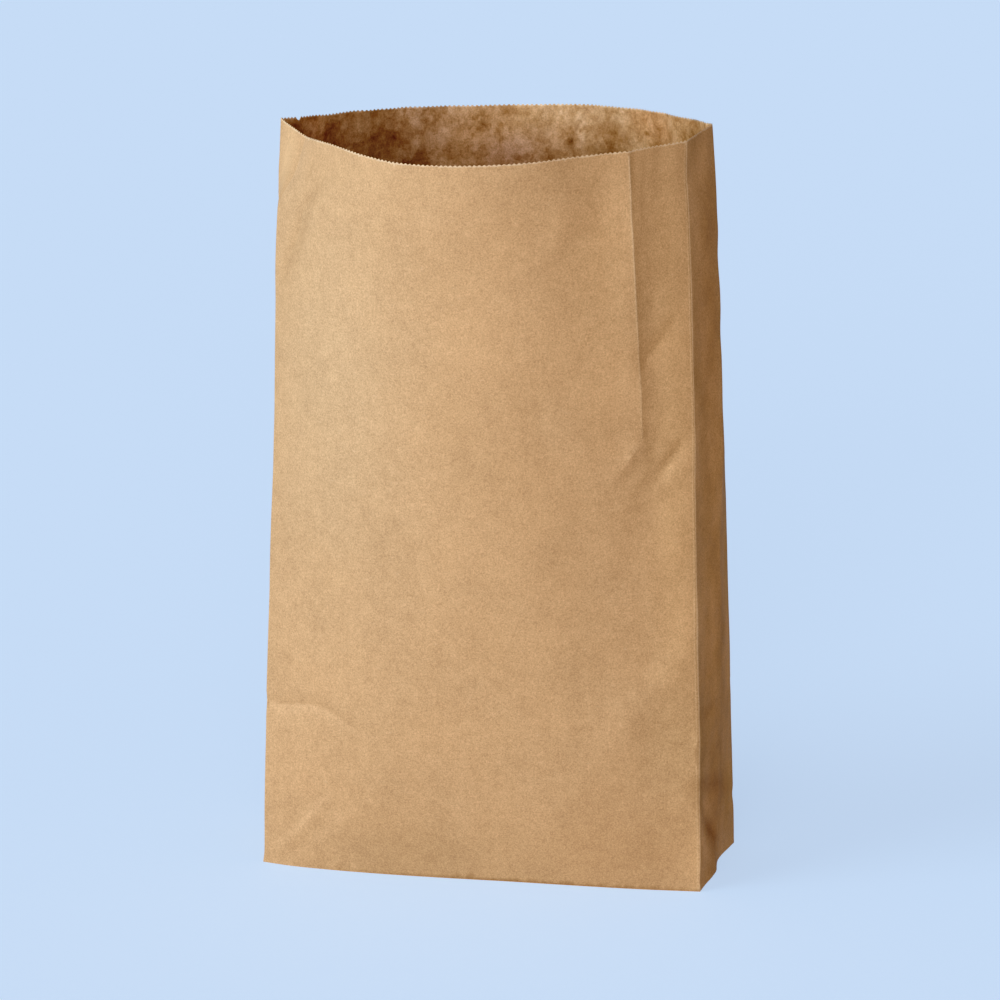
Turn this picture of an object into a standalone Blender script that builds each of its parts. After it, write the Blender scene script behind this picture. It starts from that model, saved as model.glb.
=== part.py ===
"""Paper waste sack: an opened, free-standing block-bottom kraft paper sack.

One sheet of paper, folded and glued, so one closed solid:
- a tube of two wide panels and two gussets, closed by a glued lap down the
  back panel,
- a block bottom of folded-in end triangles under two long glued flaps,
- a saw-toothed cut edge round the mouth, and on the free edge of the outer
  bottom flap,
- the fold that the flat bottom leaves in the walls, and the creases of a
  sack that has been pulled open by hand.

Metres, +Z up, origin at the middle of the bottom, on its lowest face.
The wide front panel faces -Y.
"""
import bpy
import bmesh
import numpy as np

MM = 0.001

# ---- driving dimensions (millimetres) --------------------------------------
PANEL_W = 500.0        # width of the front and back panels
GUSSET_W = 156.0       # full width of a side gusset, opened flat
PAPER = 0.25           # thickness of the paper wall
TOOTH_PITCH = 500.0 / 96.0
TOOTH_DEPTH = 1.4
TOOTH_ROW = 6.0        # height of the strip that carries the teeth
LAP_START = 375.0      # glued lap, along the back panel from its right fold
LAP_END = LAP_START + 5 * TOOTH_PITCH
LAP_RAMP = 6.0         # where the covering sheet comes back down
STEP = 0.3             # run of a cut sheet edge, along the panel
FLAP_REACH = 90.0      # how far the outer bottom flap reaches from the front
FLOOR_PLIES = 4        # plies between the inner floor and the standing face
MEMORY_FOLD_Z = 195.0  # fold left in the walls by the flat-folded bottom
GUSSET_FOLD_Z = 52.0   # cross fold low in the gussets
CREASE_AT = 427.0      # upright hand crease, along the front from its left fold

# Levels up the wall at which the fold lines are set, 0 at the bottom, 1 at
# the mouth, and the plan position of each fold line at those levels.
LEVELS = (0.0, 0.25, 0.5, 0.75, 0.88, 0.91, 0.95, 1.0)
FRONT_LEFT = ((-250, -78), (-239, -75), (-227, -72), (-215, -69),
              (-210.5, -68), (-208.5, -67.5), (-191, -66), (-177.6, -65.1))
FRONT_RIGHT = ((250, -78), (246.7, -73), (243.5, -68), (240.2, -63),
               (238.4, -60), (238.1, -59.5), (237.6, -59), (236.9, -58.1))
RIGHT_CENTRE = ((254.5, 0), (257, 6), (259.5, 11), (258, 15),
                (255, 18), (254, 18.6), (252, 19), (249.1, 19.5))
BACK_RIGHT = ((259, 78), (255, 83), (250, 87), (241, 89),
              (232, 88.5), (228, 88.4), (222, 88), (211.3, 87.3))
BACK_LEFT = ((-241, 78), (-236, 79), (-226, 79), (-213, 78),
             (-205, 77), (-202, 75), (-195, 71), (-186.7, 66.7))
LEFT_CENTRE = ((-245.5, 0), (-241, 2), (-234, 4), (-227, 5),
               (-226.5, 6), (-226.5, 4.5), (-226, 1), (-222.9, -1.3))
# How far the wide panels bow out, at the same levels.
FRONT_BULGE = (0, 43, 70, 92, 106, 111, 117, 124.1)
BACK_BULGE = (0, 39, 70, 97, 115, 119.5, 127, 135.7)
# The front bottom edge is not quite straight: (share of width, bow).
FOOT_BOW = ((0, 0), (.06, 6.0), (.16, 10.4), (.27, 12.2), (.42, 11.4),
            (.56, 9.0), (.72, 7.5), (.87, 5.0), (1, 0))
# Height of the mouth along each wide panel: it dips where the panel leans.
FRONT_RIM = ((0, 827.0), (.124, 827.7), (.25, 823.6), (.312, 821.8),
             (.374, 821.3), (.5, 822.6), (.624, 825.3), (.686, 827.3),
             (.748, 828.8), (.874, 830.0), (1, 831.1))
BACK_RIM = ((0, 825.2), (.124, 823.9), (.25, 821.4), (.312, 820.1),
            (.374, 818.8), (.5, 815.7), (.624, 816.1), (.686, 817.8),
            (.748, 819.6), (.874, 822.5), (1, 825.4))
RIM_RIGHT_TIP = 834.5
RIM_LEFT_TIP = 833.9

# Rows of the wall, as shares of the height.
ROWS = (0.025, GUSSET_FOLD_Z / 830, 0.11, 0.165, MEMORY_FOLD_Z / 830, 0.275,
        0.32, 0.40, 0.48, 0.56, 0.64, 0.72, 0.80, 0.87, 0.91, 0.95)


def curve_through(values, t):
    """Smooth value at level t of numbers given at LEVELS."""
    x = np.array(LEVELS)
    v = np.array(values, float)
    h = np.diff(x)
    d = np.diff(v) / h
    m = np.empty_like(v)
    m[0], m[-1] = d[0], d[-1]
    m[1:-1] = (d[:-1] * h[1:] + d[1:] * h[:-1]) / (h[1:] + h[:-1])
    k = int(np.clip(np.searchsorted(x, t, side='right') - 1, 0, len(h) - 1))
    q = (t - x[k]) / h[k]
    return ((1 + 2 * q) * (1 - q) ** 2 * v[k] + q * (1 - q) ** 2 * h[k] * m[k]
            + q * q * (3 - 2 * q) * v[k + 1] + q * q * (q - 1) * h[k] * m[k + 1])


def fold(line, t):
    return np.array([curve_through([p[0] for p in line], t),
                     curve_through([p[1] for p in line], t)])


def table(pairs, x):
    return np.interp(x, [p[0] for p in pairs], [p[1] for p in pairs])


def wide_panel(start, end, bulge, share, t, bow=None):
    """Plan point on a bowed panel, at a share of its length along the paper."""
    chord = end - start
    length = np.hypot(*chord)
    outward = np.array([chord[1], -chord[0]]) / length
    u = np.linspace(0, 1, 241)
    off = bulge * 4 * u * (1 - u)
    if bow is not None:
        off = off + (1 - t) ** 1.5 * table(bow, u)
    run = np.r_[0, np.cumsum(np.hypot(np.diff(u) * length, np.diff(off)))]
    at = np.interp(share * run[-1], run, u)
    return start + at * chord + np.interp(at, u, off) * outward


def crease_depth(panel, share, z):
    """Small folds in the wall, measured outwards from the smooth panel."""
    if panel in ('right_front', 'right_back', 'left_back', 'left_front'):
        return -1.6 * max(0, 1 - abs(z - GUSSET_FOLD_Z) / 30)
    s = share * PANEL_W
    d = 0.0
    if panel == 'front':
        d -= 1.4 * max(0, 1 - abs(z - MEMORY_FOLD_Z) / 32) * max(0, 1 - s / 190)
        if z > 430:
            d += 2.2 * max(0, 1 - abs(s - CREASE_AT) / 18) * min(1, (z - 430) / 160)
    return d


def wall_point(panel, share, t):
    """Point on the smooth middle of the wall, and its height at the mouth."""
    fl, fr = fold(FRONT_LEFT, t), fold(FRONT_RIGHT, t)
    bl, br = fold(BACK_LEFT, t), fold(BACK_RIGHT, t)
    rc, lc = fold(RIGHT_CENTRE, t), fold(LEFT_CENTRE, t)
    if panel == 'front':
        xy = wide_panel(fl, fr, curve_through(FRONT_BULGE, t), share, t, FOOT_BOW)
        top = table(FRONT_RIM, share)
    elif panel == 'back':
        xy = wide_panel(br, bl, curve_through(BACK_BULGE, t), share, t)
        top = table(BACK_RIM, share)
    else:
        a, b, za, zb = {
            'right_front': (fr, rc, FRONT_RIM[-1][1], RIM_RIGHT_TIP),
            'right_back': (rc, br, RIM_RIGHT_TIP, BACK_RIM[0][1]),
            'left_back': (bl, lc, BACK_RIM[-1][1], RIM_LEFT_TIP),
            'left_front': (lc, fl, RIM_LEFT_TIP, FRONT_RIM[0][1]),
        }[panel]
        xy = a + share * (b - a)
        top = za + share * (zb - za)
    return xy, top


def columns():
    """(panel, share, outer offset, inner offset, teeth to the next column)."""
    out = []

    def plain(panel, count, teeth):
        for i in range(count):
            out.append((panel, i / count, 0.0, -PAPER, teeth))

    pitch = 4 * TOOTH_PITCH
    for i in range(24):
        if i == 20:
            out.append(('front', i * pitch / PANEL_W, 0.0, -PAPER, 2))
            out.append(('front', CREASE_AT / PANEL_W, 0.0, -PAPER, 2))
        else:
            out.append(('front', i * pitch / PANEL_W, 0.0, -PAPER, 4))
    plain('right_front', 3, 5)
    plain('right_back', 3, 5)
    for i in range(18):
        out.append(('back', i * pitch / PANEL_W, 0.0, -PAPER, 4))
    # the covering sheet ends in a step on the outside, the covered sheet in
    # a step on the inside, and between them the wall is two plies thick
    w = PANEL_W
    out.append(('back', (LAP_START - STEP) / w, 0.0, -PAPER, 0))
    out.append(('back', LAP_START / w, PAPER, -PAPER, 5))
    out.append(('back', LAP_END / w, PAPER, -PAPER, 0))
    out.append(('back', (LAP_END + STEP) / w, PAPER, 0.0, 1))
    out.append(('back', (LAP_END + LAP_RAMP) / w, 0.0, -PAPER, 2))
    for i in range(20, 24):
        out.append(('back', i * pitch / PANEL_W, 0.0, -PAPER, 4))
    plain('left_back', 3, 5)
    plain('left_front', 3, 5)
    return out


def ring(cols, t, z_of_top):
    """Outer and inner points of the wall at one level."""
    base, tops = [], []
    for panel, share, _, _, _ in cols:
        xy, top = wall_point(panel, share, t)
        base.append(xy)
        tops.append(top)
    base = np.array(base)
    n = len(cols)
    nxt = np.roll(base, -1, axis=0) - base
    nxt /= np.linalg.norm(nxt, axis=1)[:, None]
    normal = np.c_[nxt[:, 1], -nxt[:, 0]]
    before = np.roll(normal, 1, axis=0)
    mitre = (before + normal) / (1 + (before * normal).sum(1))[:, None]
    outer, inner = [], []
    for i, (panel, share, o_out, o_in, _) in enumerate(cols):
        z = z_of_top(tops[i], t)
        d = crease_depth(panel, share, z)
        outer.append((*(base[i] + mitre[i] * (o_out + d)), z))
        inner.append((*(base[i] + mitre[i] * (o_in + d)), z))
    assert len(outer) == n
    return np.array(outer), np.array(inner)


def make_sack():
    cols = columns()
    n = len(cols)
    bm = bmesh.new()

    def add(points):
        return [bm.verts.new([c * MM for c in p]) for p in points]

    # -- the walls, from the bottom fold to the strip under the teeth
    z_under = 2 * PAPER
    z_floor = FLOOR_PLIES * PAPER
    rings_out, rings_in = [], []
    o, i_ = ring(cols, 0.0, lambda top, t: 0.0)
    o[:, 2] = z_under
    i_[:, 2] = z_floor
    rings_out.append(add(o))
    rings_in.append(add(i_))
    for t in ROWS:
        o, i_ = ring(cols, t, lambda top, q: top * q)
        rings_out.append(add(o))
        rings_in.append(add(i_))
    o, i_ = ring(cols, 1.0, lambda top, q: top - TOOTH_ROW)
    rings_out.append(add(o))
    rings_in.append(add(i_))
    for lower, upper in zip(rings_out, rings_out[1:]):
        for a in range(n):
            b = (a + 1) % n
            bm.faces.new((lower[a], lower[b], upper[b], upper[a]))
    for lower, upper in zip(rings_in, rings_in[1:]):
        for a in range(n):
            b = (a + 1) % n
            bm.faces.new((lower[b], lower[a], upper[a], upper[b]))

    # -- the cut edge: teeth between each two columns
    o, i_ = ring(cols, 1.0, lambda top, q: top - TOOTH_DEPTH)
    edge_out, edge_in = [], []
    col_out, col_in = add(o), add(i_)
    for a in range(n):
        b = (a + 1) % n
        teeth = cols[a][4]
        line_o, line_i = [col_out[a]], [col_in[a]]
        for k in range(1, 2 * teeth):
            q = k / (2 * teeth)
            lift = np.array([0, 0, TOOTH_DEPTH if k % 2 else 0.0])
            line_o += add([o[a] + q * (o[b] - o[a]) + lift])
            line_i += add([i_[a] + q * (i_[b] - i_[a]) + lift])
        line_o.append(col_out[b])
        line_i.append(col_in[b])
        edge_out.append(line_o)
        edge_in.append(line_i)
    for a in range(n):
        b = (a + 1) % n
        for foot, line, flip in ((rings_out[-1], edge_out[a], False),
                                 (rings_in[-1], edge_in[a], True)):
            half = (len(line) - 1) // 2
            tris = [(foot[a], foot[b], line[half])]
            tris += [(foot[a], line[k + 1], line[k]) for k in range(half)]
            tris += [(foot[b], line[k + 1], line[k])
                     for k in range(half, len(line) - 1)]
            for tri in tris:
                bm.faces.new(tri[::-1] if flip else tri)
        for k in range(len(edge_out[a]) - 1):
            bm.faces.new((edge_out[a][k], edge_out[a][k + 1],
                          edge_in[a][k + 1], edge_in[a][k]))

    # -- the inner floor
    bm.faces.new(rings_in[0])

    # -- the underside: folded-in ends under two long glued flaps
    foot = rings_out[0]
    where = [c[0] for c in cols]
    first = {p: where.index(p) for p in
             ('front', 'right_front', 'right_back', 'back', 'left_back', 'left_front')}
    front_line = foot[first['front']:first['right_front'] + 1]
    right_line = foot[first['right_front']:first['back'] + 1]
    back_line = foot[first['back']:first['left_back'] + 1]
    left_line = foot[first['left_back']:] + [foot[0]]
    # corners of the base, for laying out the flaps
    ca, cb = np.array(FRONT_LEFT[0]), np.array(FRONT_RIGHT[0])
    cc, cd = np.array(BACK_RIGHT[0]), np.array(BACK_LEFT[0])

    def on_base(along, across):
        u, v = along / PANEL_W, across / GUSSET_W
        p = (1 - v) * ((1 - u) * ca + u * cb) + v * ((1 - u) * cd + u * cc)
        return (p[0], p[1], z_under)

    mid = GUSSET_W / 2
    right_apex = add([on_base(PANEL_W - mid, mid)])[0]
    left_apex = add([on_base(mid, mid)])[0]
    start, end = PANEL_W - FLAP_REACH, FLAP_REACH
    teeth = int(round((start - end) / TOOTH_PITCH))
    edge = []
    for k in range(2 * teeth + 1):
        along = start + (end - start) * k / (2 * teeth)
        lift = 0.0 if k % 2 == 0 else TOOTH_DEPTH
        edge.append(on_base(along, FLAP_REACH + lift))
    edge = add(edge)
    # faces look down, so their corners run clockwise seen from above
    outer_flap = bm.faces.new((front_line + [right_apex] + edge + [left_apex])[::-1])
    inner_flap = bm.faces.new((back_line + [left_apex] + edge[::-1] + [right_apex])[::-1])
    bm.faces.new((right_line + [right_apex])[::-1])
    bm.faces.new((left_line + [left_apex])[::-1])
    bm.normal_update()

    # each glued flap stands one ply proud of what it covers
    def lower(faces):
        made = bmesh.ops.extrude_face_region(bm, geom=faces)['geom']
        verts = [g for g in made if isinstance(g, bmesh.types.BMVert)]
        bmesh.ops.translate(bm, verts=verts, vec=(0, 0, -PAPER * MM))
        bmesh.ops.delete(bm, geom=faces, context='FACES')
        return [g for g in made if isinstance(g, bmesh.types.BMFace)]

    flaps = lower([outer_flap, inner_flap])
    outer_flap = min(flaps, key=lambda f: f.calc_center_median().y)
    lower([outer_flap])

    bmesh.ops.triangulate(bm, faces=[f for f in bm.faces if len(f.verts) > 3])
    mesh = bpy.data.meshes.new('paper_sack')
    bm.to_mesh(mesh)
    bm.free()
    return mesh


def kraft_paper():
    mat = bpy.data.materials.new('kraft_paper')
    mat.use_nodes = True
    bsdf = mat.node_tree.nodes['Principled BSDF']
    bsdf.inputs['Base Color'].default_value = (0.56, 0.37, 0.20, 1.0)
    bsdf.inputs['Roughness'].default_value = 0.85
    bsdf.inputs['Metallic'].default_value = 0.0
    return mat


def main():
    for obj in list(bpy.data.objects):
        bpy.data.objects.remove(obj, do_unlink=True)
    mesh = make_sack()
    sack = bpy.data.objects.new('paper_sack', mesh)
    bpy.context.scene.collection.objects.link(sack)
    mesh.materials.append(kraft_paper())
    # smooth across the bowed panels, sharp at the folds and cut edges
    for poly in mesh.polygons:
        poly.use_smooth = True
    mesh.set_sharp_from_angle(angle=0.35)


main()
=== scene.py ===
"""Looks of the paper waste sack: one sheet of kraft paper as one closed mesh.

The sheet is laid out flat (s along the girth, y up the height, millimetres),
meshed there with every fold and crease as an edge, then stood up on the shape
of the opened sack and given its creases, dents and waves as real relief.
"""

import math

import bmesh
import bpy
import numpy as np
from mathutils import Matrix, Vector
from mathutils.geometry import delaunay_2d_cdt


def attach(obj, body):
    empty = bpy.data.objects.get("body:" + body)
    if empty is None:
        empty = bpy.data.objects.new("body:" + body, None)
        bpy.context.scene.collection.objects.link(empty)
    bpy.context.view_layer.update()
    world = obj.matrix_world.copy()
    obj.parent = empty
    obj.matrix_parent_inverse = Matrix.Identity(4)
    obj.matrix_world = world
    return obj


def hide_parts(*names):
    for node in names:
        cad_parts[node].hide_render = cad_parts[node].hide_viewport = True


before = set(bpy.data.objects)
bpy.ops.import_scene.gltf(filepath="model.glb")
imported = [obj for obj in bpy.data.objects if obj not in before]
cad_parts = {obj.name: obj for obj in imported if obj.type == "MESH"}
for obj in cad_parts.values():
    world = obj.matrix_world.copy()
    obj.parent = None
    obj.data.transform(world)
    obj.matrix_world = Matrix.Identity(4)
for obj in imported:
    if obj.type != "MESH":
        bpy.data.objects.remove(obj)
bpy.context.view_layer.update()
MM = 0.001

# ---- the sheet, laid out flat ----------------------------------------------
PANEL_W = 500.0
GUSSET_W = 156.0
HEIGHT = 830.0
PAPER = 0.25
GIRTH = 2 * (PANEL_W + GUSSET_W)
TOOTH_PITCH = PANEL_W / 96
# upright folds: front right, right centre, back right, back left, left centre;
# the front left fold is at 0 and again at GIRTH
FOLD_AT = (500.0, 578.0, 656.0, 1156.0, 1234.0)
BACK_AT = 656.0
LAP_START = BACK_AT + 375.0
LAP_END = LAP_START + 5 * TOOTH_PITCH
LAP_RAMP = 6.0
STEP = 0.3
FLAP_REACH = 90.0
Z_UNDER = 2 * PAPER
Z_FLOOR = 4 * PAPER

# ---- the opened shape, as in the CAD ---------------------------------------
LEVELS = (0.0, 0.25, 0.5, 0.75, 0.88, 0.91, 0.95, 1.0)
FRONT_LEFT = ((-250, -78), (-239, -75), (-227, -72), (-215, -69),
              (-210.5, -68), (-208.5, -67.5), (-191, -66), (-177.6, -65.1))
FRONT_RIGHT = ((250, -78), (246.7, -73), (243.5, -68), (240.2, -63),
               (238.4, -60), (238.1, -59.5), (237.6, -59), (236.9, -58.1))
RIGHT_CENTRE = ((254.5, 0), (257, 6), (259.5, 11), (258, 15),
                (255, 18), (254, 18.6), (252, 19), (249.1, 19.5))
BACK_RIGHT = ((259, 78), (255, 83), (250, 87), (241, 89),
              (232, 88.5), (228, 88.4), (222, 88), (211.3, 87.3))
BACK_LEFT = ((-241, 78), (-236, 79), (-226, 79), (-213, 78),
             (-205, 77), (-202, 75), (-195, 71), (-186.7, 66.7))
LEFT_CENTRE = ((-245.5, 0), (-241, 2), (-234, 4), (-227, 5),
               (-226.5, 6), (-226.5, 4.5), (-226, 1), (-222.9, -1.3))
FRONT_BULGE = (0, 43, 70, 92, 106, 111, 117, 124.1)
BACK_BULGE = (0, 39, 70, 97, 115, 119.5, 127, 135.7)
FOOT_BOW = ((0, 0), (.06, 6.0), (.16, 10.4), (.27, 12.2), (.42, 11.4),
            (.56, 9.0), (.72, 7.5), (.87, 5.0), (1, 0))
FRONT_RIM = ((0, 827.0), (.124, 827.7), (.25, 823.6), (.312, 821.8),
             (.374, 821.3), (.5, 822.6), (.624, 825.3), (.686, 827.3),
             (.748, 828.8), (.874, 830.0), (1, 831.1))
BACK_RIM = ((0, 825.2), (.124, 823.9), (.25, 821.4), (.312, 820.1),
            (.374, 818.8), (.5, 815.7), (.624, 816.1), (.686, 817.8),
            (.748, 819.6), (.874, 822.5), (1, 825.4))
RIM_RIGHT_TIP = 834.5
RIM_LEFT_TIP = 833.9
# the foot of the right gusset isn't straight: (share of gusset, outward)
GUSSET_FOOT = ((0, 0), (.12, .4), (.3, 2.2), (.42, 2.0), (.52, -1.5),
               (.62, -4.2), (.74, -4.0), (.88, -1.6), (1, 0))


def through(xs, values, q):
    """Smooth curve through points at xs, read at q."""
    x = np.array(xs, float)
    v = np.array(values, float)
    h = np.diff(x)
    d = np.diff(v) / h
    m = np.empty_like(v)
    m[0], m[-1] = d[0], d[-1]
    m[1:-1] = (d[:-1] * h[1:] + d[1:] * h[:-1]) / (h[1:] + h[:-1])
    q = np.asarray(q, float)
    k = np.clip(np.searchsorted(x, q, side="right") - 1, 0, len(h) - 1)
    u = (q - x[k]) / h[k]
    return ((1 + 2 * u) * (1 - u) ** 2 * v[k] + u * (1 - u) ** 2 * h[k] * m[k]
            + u * u * (3 - 2 * u) * v[k + 1] + u * u * (u - 1) * h[k] * m[k + 1])


def pairs(table, q):
    return through([p[0] for p in table], [p[1] for p in table], q)


def fold_line(line, t):
    return np.stack([through(LEVELS, [p[0] for p in line], t),
                     through(LEVELS, [p[1] for p in line], t)], -1)


class WidePanel:
    """A bowed panel between two folds, walked at an even rate along the paper."""

    def __init__(self, start, end, bulge, rim, bow=None):
        self.start, self.end, self.bulge, self.rim, self.bow = start, end, bulge, rim, bow
        self.levels = np.linspace(0, 1, 201)
        self.shares = np.linspace(0, 1, 301)
        u = np.linspace(0, 1, 501)
        rows = []
        for t in self.levels:
            a, b = fold_line(start, t), fold_line(end, t)
            off = self.offset(u, t)
            run = np.r_[0, np.cumsum(np.hypot(np.diff(u) * np.hypot(*(b - a)), np.diff(off)))]
            rows.append(np.interp(self.shares * run[-1], run, u))
        self.table = np.array(rows)

    def offset(self, u, t):
        off = through(LEVELS, self.bulge, t) * 4 * u * (1 - u)
        if self.bow:
            off = off + (1 - t) ** 1.5 * pairs(self.bow, u)
        return off

    def at(self, share, t):
        fi = np.clip(t, 0, 1) * 200
        fj = np.clip(share, 0, 1) * 300
        i = np.minimum(fi.astype(int), 199)
        j = np.minimum(fj.astype(int), 299)
        a, b = fi - i, fj - j
        T = self.table
        u = ((1 - a) * ((1 - b) * T[i, j] + b * T[i, j + 1])
             + a * ((1 - b) * T[i + 1, j] + b * T[i + 1, j + 1]))
        p, q = fold_line(self.start, t), fold_line(self.end, t)
        chord = q - p
        out = np.stack([chord[:, 1], -chord[:, 0]], -1)
        out /= np.linalg.norm(out, axis=1)[:, None]
        xy = p + u[:, None] * chord + self.offset(u, t)[:, None] * out
        return xy, pairs(self.rim, share)


FRONT = WidePanel(FRONT_LEFT, FRONT_RIGHT, FRONT_BULGE, FRONT_RIM, FOOT_BOW)
BACK = WidePanel(BACK_RIGHT, BACK_LEFT, BACK_BULGE, BACK_RIM)


def stand_up(s, y):
    """The smooth shape: points in mm for places on the flat sheet."""
    s = np.mod(np.asarray(s, float), GIRTH)
    t = np.clip(np.asarray(y, float) / HEIGHT, 0, 1)
    out = np.zeros((len(s), 3))
    spans = (
        (0, 500, FRONT, None), (500, 578, FRONT_RIGHT, RIGHT_CENTRE),
        (578, 656, RIGHT_CENTRE, BACK_RIGHT), (656, 1156, BACK, None),
        (1156, 1234, BACK_LEFT, LEFT_CENTRE), (1234, GIRTH, LEFT_CENTRE, FRONT_LEFT),
    )
    tips = ((FRONT_RIM[-1][1], RIM_RIGHT_TIP), (RIM_RIGHT_TIP, BACK_RIM[0][1]),
            (BACK_RIM[-1][1], RIM_LEFT_TIP), (RIM_LEFT_TIP, FRONT_RIM[0][1]))
    gusset = 0
    for lo, hi, a, b in spans:
        m = (s >= lo) & (s < hi)
        share = (s[m] - lo) / (hi - lo)
        if b is None:
            xy, top = a.at(share, t[m])
        else:
            p, q = fold_line(a, t[m]), fold_line(b, t[m])
            xy = p + share[:, None] * (q - p)
            za, zb = tips[gusset]
            top = za + share * (zb - za)
            if gusset < 2:
                # the foot of the right gusset wanders in and out
                v = (s[m] - 500) / GUSSET_W
                xy[:, 0] += pairs(GUSSET_FOOT, v) * np.exp(-(t[m] * HEIGHT / 16) ** 1.3)
            gusset += 1
        out[m, :2] = xy
        out[m, 2] = top * t[m]
    return out


# ---- relief ----------------------------------------------------------------
def lattice(s, y, cell_s, cell_y, seed):
    """Smooth seeded noise of about unit size, closed round the girth."""
    ns = max(4, int(round(GIRTH / cell_s)))
    ny = int(HEIGHT / cell_y) + 6
    g = np.random.default_rng(seed).standard_normal((ny, ns))
    fs = np.mod(s, GIRTH) / GIRTH * ns
    fy = np.clip(y, -cell_y, HEIGHT + cell_y) / cell_y + 2
    i, j = np.floor(fs).astype(int), np.floor(fy).astype(int)
    a, b = fs - i, fy - j

    def w(x):
        return ((1 - x) ** 3 / 6, (3 * x ** 3 - 6 * x ** 2 + 4) / 6,
                (-3 * x ** 3 + 3 * x ** 2 + 3 * x + 1) / 6, x ** 3 / 6)

    wa, wb = w(a), w(b)
    total = np.zeros(len(s))
    for p in range(4):
        for q in range(4):
            total += wa[p] * wb[q] * g[np.clip(j + q - 1, 0, ny - 1), (i + p - 1) % ns]
    return total / 0.47


def smooth(a, b, x):
    q = np.clip((x - a) / (b - a), 0, 1)
    return q * q * (3 - 2 * q)


def beside(line, s, y):
    """Signed distance to a line and the share along it.

    A line is written from the top down, or from left to right. The distance
    is positive on its right (+s), or above it.
    """
    best = np.full(len(s), 1e9)
    sign = np.ones(len(s))
    share = np.zeros(len(s))
    pts = np.array(line, float)
    seg = np.linalg.norm(np.diff(pts, axis=0), axis=1)
    run = np.r_[0, np.cumsum(seg)]
    for k in range(len(seg)):
        d = (pts[k + 1] - pts[k]) / seg[k]
        rs, ry = s - pts[k, 0], y - pts[k, 1]
        along = np.clip(rs * d[0] + ry * d[1], 0, seg[k])
        ds, dy = rs - along * d[0], ry - along * d[1]
        dist = np.hypot(ds, dy)
        near = dist < best
        best[near] = dist[near]
        cross = d[0] * ry - d[1] * rs
        sign[near] = np.where(cross[near] >= 0, 1.0, -1.0)
        share[near] = ((run[k] + along) / run[-1])[near]
    return best * sign, share


MEMORY_LINE = ((2.5, 188.5), (27, 190), (45, 193.5), (61, 195), (80, 192), (98, 185), (116, 176), (150, 167))

# Creases: (name, line, heights along it, width on the positive
# side, width on the negative side, power). A positive height is a ridge.
FRONT_CREASES = (
    ("upright", ((423.4, 829.9), (431.3, 744), (435.8, 657.5), (438.9, 603), (441.2, 560), (442.6, 519)),
     (6.4, 6.0, 5.0, 4.2, 3.4, 2.2), 22, 32, 1.45),
    ("branch", ((492, 664), (478, 641), (463, 619), (449, 603), (442, 592)),
     (-.1, -1.3, -2.6, -3.2, -1.0), 18, 22, 1.35),
    ("elbow_ridge", ((441, 514), (436, 508), (428, 496), (416, 480), (402, 460)),
     (1.0, 2.6, 2.4, 1.4, .1), 16, 22, 1.3),
    ("elbow_valley", ((488, 515), (481, 503), (470, 487), (458, 471), (446, 460)),
     (-.2, -2.3, -2.5, -1.5, -.1), 17, 12, 1.3),
    ("elbow_line", ((396, 437), (416, 440), (436, 445)),
     (.3, 1.1, .6), 6, 10, 1.5),
    ("corner_kink", ((499, 176), (495.5, 166), (495.5, 152), (499, 140)),
     (.3, 1.2, 1.1, .2), 4, 7, 1.4),
    ("memory", MEMORY_LINE,
     (-2.3, -2.3, -2.3, -2.2, -1.8, -1.2, -.6, -.1), 15, 32, 1.4),
    ("foot_left", ((82, 92), (62, 66), (40, 42), (20, 20)),
     (.2, 1.0, 1.2, .5), 26, 18, 1.3),
    ("shoulder", ((62, 806), (54, 775), (47, 745), (35, 715), (20, 690), (8, 655)),
     (-.4, -2.3, -3.4, -3.4, -2.6, -.4), 27, 19, 1.3),
    ("shoulder_nick", ((33, 808), (34, 796), (32, 786)),
     (-.4, -.9, -.2), 3.5, 6, 1.4),
)
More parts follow.
